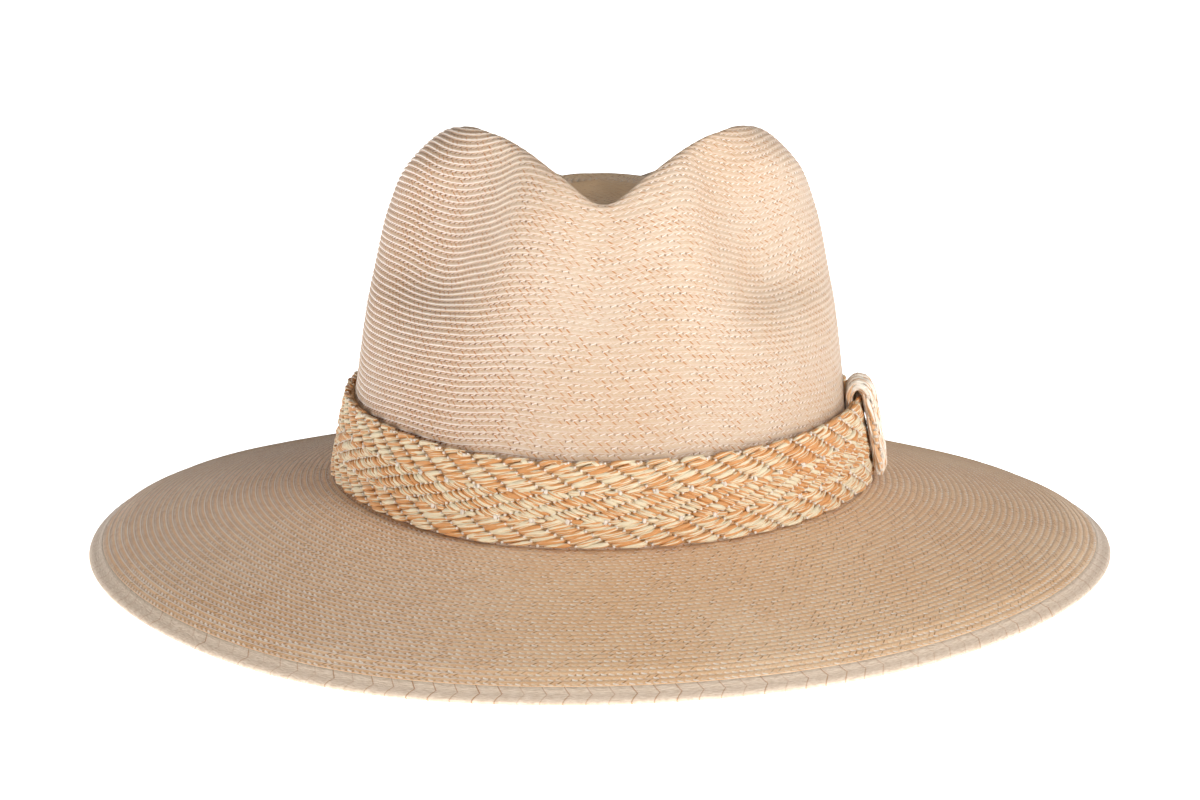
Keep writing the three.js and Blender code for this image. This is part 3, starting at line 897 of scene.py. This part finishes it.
def leaf_strand(name, cream, tan, tan_share):
    """Split leaf, cream or tan, with streaks along it, and a dry satin face. The streaks are some
    14 mm long and 0.6 mm wide, and the fibres 3.3 mm and 0.1 mm."""
    material = bpy.data.materials.new(name)
    material.use_nodes = True
    tree = material.node_tree
    tree.nodes.clear()
    place = add(tree, "ShaderNodeUVMap", {}, uv_map="strand")
    tone = add(tree, "ShaderNodeAttribute", {}, 2, attribute_name="tone")
    stretch = add(
        tree, "ShaderNodeVectorMath", {0: place, 1: (0.07, 1.7, 1.0)}, operation="MULTIPLY"
    )
    stripe = add(
        tree, "ShaderNodeTexNoise",
        {"Vector": stretch, "Scale": 1.0, "Detail": 2.0, "Roughness": 0.55},
        noise_dimensions="2D",
    )
    sway = add(
        tree, "ShaderNodeMath", {0: stripe, 1: 3.2, 2: -1.35}, operation="MULTIPLY_ADD"
    )
    mixed = add(tree, "ShaderNodeMath", {0: tone, 1: 0.5, 2: sway}, operation="MULTIPLY_ADD")
    share = add(
        tree, "ShaderNodeMapRange",
        {0: mixed, 1: 1 - tan_share - 0.06, 2: 1 - tan_share + 0.06, 3: 0.0, 4: 1.0},
        interpolation_type="SMOOTHSTEP",
    )
    fine = add(
        tree, "ShaderNodeVectorMath", {0: place, 1: (0.3, 9.0, 1.0)}, operation="MULTIPLY"
    )
    fibre = add(
        tree, "ShaderNodeTexNoise",
        {"Vector": fine, "Scale": 1.0, "Detail": 3.0, "Roughness": 0.6},
        noise_dimensions="2D",
    )
    colour = add(
        tree, "ShaderNodeMix", {0: share, 6: linear(cream), 7: linear(tan)}, 2,
        data_type="RGBA",
    )
    dark = add(tree, "ShaderNodeMapRange", {0: fibre, 1: 0.3, 2: 0.7, 3: 0.86, 4: 1.06})
    colour = add(
        tree, "ShaderNodeVectorMath", {0: colour, 3: dark}, operation="SCALE"
    )
    bump = add(
        tree, "ShaderNodeBump", {"Height": fibre, "Strength": 0.5, "Distance": 0.0002}
    )
    finish(tree, add(
        tree, "ShaderNodeBsdfPrincipled",
        {"Base Color": colour, "Roughness": 0.48, "IOR": 1.45, "Normal": bump},
    ))
    return material


strand_leaf = leaf_strand("Cream and tan leaf strand", "#E0D0B0", "#CE9158", 0.52)
strands.data.materials.append(strand_leaf)


def plain(name, tint, roughness):
    """Leaf or thread in one colour, matt, with a grain of about 1 mm."""
    material = bpy.data.materials.new(name)
    material.use_nodes = True
    tree = material.node_tree
    tree.nodes.clear()
    spot = add(tree, "ShaderNodeTexCoord", {}, 3)
    grain = add(tree, "ShaderNodeTexNoise", {"Vector": spot, "Scale": 900.0, "Detail": 3.0})
    tone = add(tree, "ShaderNodeMapRange", {0: grain, 1: 0.3, 2: 0.7, 3: 0.8, 4: 1.1})
    colour = add(
        tree, "ShaderNodeVectorMath", {0: linear(tint)[:3], 3: tone}, operation="SCALE"
    )
    bump = add(
        tree, "ShaderNodeBump", {"Height": grain, "Strength": 0.4, "Distance": 0.0002}
    )
    finish(tree, add(
        tree, "ShaderNodeBsdfPrincipled",
        {"Base Color": colour, "Roughness": roughness, "Normal": bump},
    ))
    return material


# Leaf under the strands, matt, painted as the warm shade in the gaps between them
back.data.materials.append(plain("Tan leaf backing, painted gap shade", "#CBA172", 0.7))

tie_rows = [(up, offset, 0.0) for up, offset, *_ in strand_rows[: -len(FILLERS)]] + joints
tie_at = [(c * cord + offset, up, joint) for up, offset, joint in tie_rows for c in range(cords)]
bpy.ops.object.select_all(action="DESELECT")
bpy.ops.mesh.primitive_ico_sphere_add(subdivisions=1, radius=1)
ties, shape = copies("band_ties", len(tie_at))
at = np.array(tie_at)
big = at[:, 2:3]  # 1 where two runs meet, else 0
on_rim = at[:, 1:2] == BAND_HEIGHT
wobble = random.normal(0, 1, (len(at), 3))
s = at[:, :1] + shape[:, :, 0] * (0.6 + 0.25 * big) + 0.15 * wobble[:, :1]
h = at[:, 1:2] + shape[:, :, 1] * (0.55 + 0.75 * big) + 0.1 * wobble[:, 1:2]
h = np.minimum(h, BAND_HEIGHT - 0.1) - 0.5 * on_rim
out = TIE_LOW + 0.35 * big + shape[:, :, 2] * 0.6 + 0.1 * wobble[:, 2:3]
settle(ties, on_band(s, h, out), shape[:, :, :2], random.random(len(at)))
# Cotton thread, a pale dot at each crossing of the strands
ties.data.materials.append(plain("Pale binding thread", "#E2D5C6", 0.6))
for piece in (back, strands, ties):
    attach(piece, "root")
    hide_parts("band")

# Keeper
# A short strap of the band's own strands, folded over the band's top on the right and tucked in
# behind it, with a rounded end at the band's foot.
KEEPER_ARCH = 7.0  # above the band's top
KEEPER_TAIL = 12.0  # behind the band, below its top
KEEPER_COLUMNS = 18
KEEPER_STRANDS = 6
KEEPER_TIES = 13
CORE_RINGS = 41
CORE_ROUND = 25
CORE_UNDER = 0.45  # under the strap's face, below the strands
tail_out = GAP + KEEPER_TAIL_THICKNESS
face_in = band_clearance(KEEPER_TURN) + BAND_THICKNESS + GAP
arch = BAND_HEIGHT + KEEPER_ARCH
# The strap's middle line, up from the band's foot and out from the wall, and its half thickness
KEEPER_PATH = np.array((
    (BAND_HEIGHT - KEEPER_TAIL, tail_out - 0.7, 0.5),
    (BAND_HEIGHT - 4, tail_out - 0.7, 0.6),
    (BAND_HEIGHT + 1.4, tail_out - 0.2, 0.9),
    (arch - 2.4, face_in - 2.6, 1.6),
    (arch - 2.2, face_in - 0.2, 1.9),
    (arch - 4.6, face_in + 1.9, 2.0),
    (BAND_HEIGHT * 0.8, face_in + 2.4, 2.05),
    (BAND_HEIGHT * 0.45, face_in + 2.4, 2.1),
    (BAND_HEIGHT * 0.16, face_in + 2.3, 2.0),
    (1.9, face_in + 2.0, 1.5),
    (0.7, face_in + 1.7, 0.5),
))
half_wide = KEEPER_WIDTH / 2


def strap(place):
    """The strap's middle line, its outward direction and half thickness, 0 at the tail to 1."""
    spans = np.linalg.norm(np.diff(KEEPER_PATH[:, :2], axis=0), axis=1).cumsum()
    spans = np.concatenate(((0.0,), spans)) / spans[-1]

    def at_place(p):
        return np.stack([np.interp(p, spans, KEEPER_PATH[:, k]) for k in range(3)], -1)

    soft = sum(at_place(np.clip(place + d, 0, 1)) for d in (-0.02, -0.01, 0, 0.01, 0.02)) / 5
    ahead = at_place(np.clip(place + 0.02, 0, 1)) - at_place(np.clip(place - 0.02, 0, 1))
    ahead = ahead[..., :2] / np.linalg.norm(ahead[..., :2], axis=-1, keepdims=True)
    return soft[..., :2], np.stack((ahead[..., 1], -ahead[..., 0]), -1), soft[..., 2]


def on_strap(place, around, proud):
    """A point on the strap: along it, round its section from the middle of its face, and proud."""
    middle, out, thick = strap(place)
    squash = np.abs(np.cos(around)) ** 0.55 * np.sign(np.cos(around))
    side = np.abs(np.sin(around)) ** 0.8 * np.sign(np.sin(around))
    point = middle + out * ((thick + proud) * squash)[..., None]
    turn = KEEPER_TURN + side * (half_wide + proud - 0.6) / HEAD_HALF[1]
    return off_foot(turn, band_foot(KEEPER_TURN) + point[..., 0], point[..., 1])


core_at = np.linspace(0, 1, CORE_RINGS)
core_round = np.linspace(0, 2 * math.pi, CORE_ROUND)
core_rings = np.array([
    on_strap(np.full(CORE_ROUND, p), core_round, -CORE_UNDER) for p in core_at
])
core_rings = np.concatenate((
    np.repeat(core_rings[:1].mean(1, keepdims=True), CORE_ROUND, 1),
    core_rings,
    np.repeat(core_rings[-1:].mean(1, keepdims=True), CORE_ROUND, 1),
))
core_cells = np.zeros((*core_rings.shape[:2], 2))
core = wrap("keeper_core", core_rings, core_cells)
# Leaf again, painted darker as the shade in the gaps, where alone it shows
core.data.materials.append(plain("Tan keeper core, painted gap shade", "#B98550", 0.7))

# Columns of strands round the strap, each a third of a strand further on than the one beside it
strand_at = []
for column in range(KEEPER_COLUMNS):
    around = (column + 0.5) / KEEPER_COLUMNS * 2 * math.pi
    for number in range(KEEPER_STRANDS + 1):
        place = (number + 0.33 * (column % 3)) / KEEPER_STRANDS
        if place < 1.08:
            strand_at.append((place, around))
bpy.ops.object.select_all(action="DESELECT")
bpy.ops.mesh.primitive_uv_sphere_add(segments=8, ring_count=12, radius=1)
keeper, shape = copies("keeper_strands", len(strand_at))
at = np.array(strand_at)
wobble = random.normal(0, 1, (len(at), 3))
along = shape[:, :, 2]
place = at[:, :1] + along * (0.115 + 0.006 * wobble[:, :1])
place = np.clip(place, 0.0, 1.0)
around = at[:, 1:2] + 0.16 * along + shape[:, :, 0] * 0.2 * (1 + 0.1 * wobble[:, 1:2])
proud = -0.35 + 0.5 * (1 - along**2) + shape[:, :, 1] * 0.5 + 0.06 * wobble[:, 2:3]
places = np.stack((
    along * 6 + 20 * random.random((len(at), 1)),
    shape[:, :, 0] * 0.9 + 0.35 * shape[:, :, 1] + 9 * random.random((len(at), 1)),
), -1)
settle(keeper, on_strap(place, around, proud), places, random.random(len(at)))
keeper.data.materials.append(leaf_strand("Pale leaf strand", "#F6EDDF", "#E0B183", 0.42))

# A row of ties down the strap's front edge
bpy.ops.object.select_all(action="DESELECT")
bpy.ops.mesh.primitive_ico_sphere_add(subdivisions=1, radius=1)
knots, shape = copies("keeper_ties", KEEPER_TIES)
wobble = random.normal(0, 1, (KEEPER_TIES, 2))
place = np.linspace(0.42, 0.96, KEEPER_TIES)[:, None] + 0.012 * shape[:, :, 0]
around = 1.56 * math.pi + 0.22 * shape[:, :, 1] + 0.1 * wobble[:, :1]
proud = 0.35 + 0.45 * shape[:, :, 2] + 0.1 * wobble[:, 1:2]
settle(knots, on_strap(place, around, proud), shape[:, :, :2], random.random(KEEPER_TIES))
knots.data.materials.append(ties.data.materials[0])
for piece in (core, keeper, knots):
    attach(piece, "root")
    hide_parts("band_keeper")

# Studio
# A pale lit table under the hat, large soft lights in front and above on the right, and weaker
# ones on the left and in front.
bpy.ops.object.select_all(action="DESELECT")
bpy.ops.mesh.primitive_plane_add(size=24, location=(0, 4, 0))
table = bpy.context.object
table.name = "table"
# Matt white board, bright enough that it shows no end and only a faint shadow
surface = bpy.data.materials.new("White table")
surface.use_nodes = True
surface.node_tree.nodes.clear()
finish(surface.node_tree, add(
    surface.node_tree, "ShaderNodeBsdfPrincipled",
    {"Base Color": linear("#F4F3F1"), "Roughness": 0.6,
     "Emission Color": linear("#FFFFFF"), "Emission Strength": 1.5},
))
table.data.materials.append(surface)

world = bpy.data.worlds.new("Studio")
world.use_nodes = True
sky = world.node_tree
sky.nodes.clear()
split = sky.nodes.new("ShaderNodeSeparateXYZ")
sky.links.new(add(sky, "ShaderNodeTexCoord", {}), split.inputs[0])
dim = add(sky, "ShaderNodeMapRange", {0: split.outputs[2], 1: 0.0, 2: 0.4, 3: 1.0, 4: 0.1})
glow = add(sky, "ShaderNodeBackground", {"Color": linear("#FFFFFF"), "Strength": dim})
room = sky.nodes.new("ShaderNodeOutputWorld")
sky.links.new(glow, room.inputs["Surface"])
bpy.context.scene.world = world
for name, place, size, watts in (
    # name, place and size in metres, and power in watts
    ("key", (1.35, -1.75, 0.7), 0.9, 25),
    ("top", (0.9, -0.8, 1.6), 0.9, 9),
    ("fill", (-2.0, -0.45, 0.1), 0.45, 19),
    ("front", (0.0, -2.2, 0.9), 0.6, 4),
):
    light = bpy.data.lights.new(name, "AREA")
    light.size = size
    light.energy = watts
    lamp = bpy.data.objects.new(name, light)
    lamp.location = place
    aim = Vector((0, 0, 0.09)) - lamp.location
    lamp.rotation_euler = aim.to_track_quat("-Z", "Y").to_euler()
    bpy.context.collection.objects.link(lamp)

# The camera, in front of the hat and a little above it
ELEVATION = math.radians(12.22)
DISTANCE = 1.6
ROLL = math.radians(-0.44)
aim = Vector((0.0003, 0, 0.0561))
pivot = Vector((0, 0, 0.06))
lens = bpy.data.cameras.new("camera")
lens.lens = 134.8
lens.sensor_width = 36
camera = bpy.data.objects.new("camera", lens)
camera.location = pivot + DISTANCE * Vector((0, -math.cos(ELEVATION), math.sin(ELEVATION)))
look = (aim - camera.location).to_track_quat("-Z", "Y").to_matrix()
camera.rotation_euler = (look @ Matrix.Rotation(ROLL, 3, "Z")).to_euler()
bpy.context.collection.objects.link(camera)
bpy.context.scene.camera = camera
bpy.context.scene.view_settings.view_transform = "Standard"
